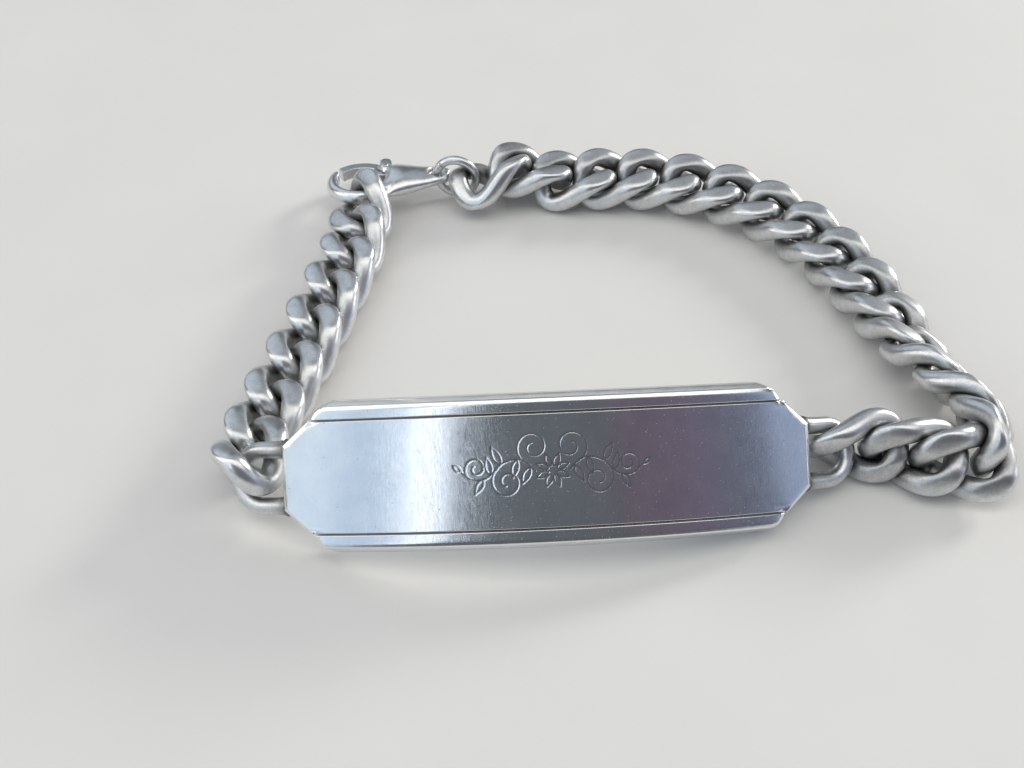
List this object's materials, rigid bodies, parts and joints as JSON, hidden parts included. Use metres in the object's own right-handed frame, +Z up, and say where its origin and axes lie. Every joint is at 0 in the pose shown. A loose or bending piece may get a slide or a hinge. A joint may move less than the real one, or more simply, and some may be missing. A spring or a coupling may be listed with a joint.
{
  "type": "name bracelet",
  "caption": "identity bracelet with a curved, canted plate and a heavy curb chain, closed by a lobster clasp with a sprung lever",
  "frame": {"origin": "the point on the table under the middle of the bracelet's bounding box", "axes": "+X runs from the plate's left end to its right end as seen in the picture, +Y from the plate across the wrist's hollow to the clasp, +Z up"},
  "size_m": [0.0726, 0.0571, 0.0128],
  "materials": {
    "plate_silver": "silver, polished and worn to fine scratches",
    "chain_silver": "silver, polished wire with tarnish in the recesses",
    "clasp_silver": "silver, polished casting"
  },
  "bodies": {
    "bracelet": {"name_plate": "plate_silver", "jump_ring": "chain_silver", "clasp_body": "clasp_silver", "lever_pin": "clasp_silver", "left_link_01": "chain_silver", "left_link_02": "chain_silver", "left_link_03": "chain_silver", "left_link_04": "chain_silver", "left_link_05": "chain_silver", "left_link_06": "chain_silver", "left_link_07": "chain_silver", "left_link_08": "chain_silver", "right_link_01": "chain_silver", "right_link_02": "chain_silver", "right_link_03": "chain_silver", "right_link_04": "chain_silver", "right_link_05": "chain_silver", "right_link_06": "chain_silver", "right_link_07": "chain_silver", "right_link_08": "chain_silver", "right_link_09": "chain_silver", "right_link_10": "chain_silver", "right_link_11": "chain_silver", "right_link_12": "chain_silver", "right_link_13": "chain_silver", "right_link_14": "chain_silver", "right_link_15": "chain_silver", "right_link_16": "chain_silver", "right_link_17": "chain_silver", "right_link_18": "chain_silver"},
    "lever": {"clasp_lever": "clasp_silver"}
  },
  "joints": [
    {"name": "lever_hinge", "type": "hinge", "parent": "bracelet", "child": "lever", "pos_m": [-0.02417, 0.02565, 0.00238], "axis": [-0.0242, 0.1371, 0.9903], "range_deg": [0, 24], "stiffness_Nm_per_rad": 0.01, "springref_deg": -17.19}
  ]
}
